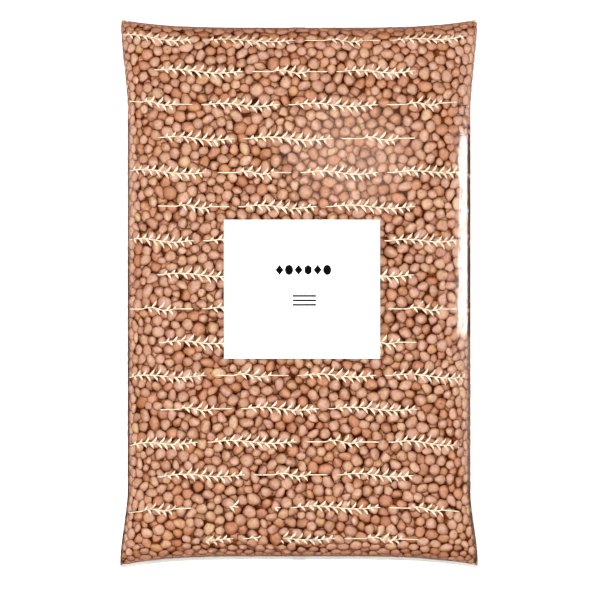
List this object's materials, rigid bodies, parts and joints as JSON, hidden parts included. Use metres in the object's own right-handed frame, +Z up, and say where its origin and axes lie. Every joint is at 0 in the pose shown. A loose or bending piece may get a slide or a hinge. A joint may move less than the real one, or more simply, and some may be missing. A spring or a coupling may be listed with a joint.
{
  "type": "bag of chickpeas",
  "caption": "Large sealed clear pillow bag filled to its end seals with dried chickpeas, with a stuck-on paper label on its front.",
  "frame": {"origin": "middle of the bag's box, on the surface that its back rests on", "axes": "+X across the bag to the right as its front is read, +Y along it towards the top seal, +Z up through the front"},
  "size_m": [0.292, 0.4512, 0.0674],
  "materials": {
    "chickpeas": "dry, finely wrinkled skins of dried chickpeas, seen through the film",
    "clear_film": "thin clear glossy packing film, drawn tight over the peas",
    "label_paper": "smooth bright white label paper",
    "white_ink": "thin lines of white ink printed on the film",
    "black_ink": "flat black print on the label"
  },
  "bodies": {
    "root": {"bag": "chickpeas", "label": "label_paper"}
  },
  "joints": []
}
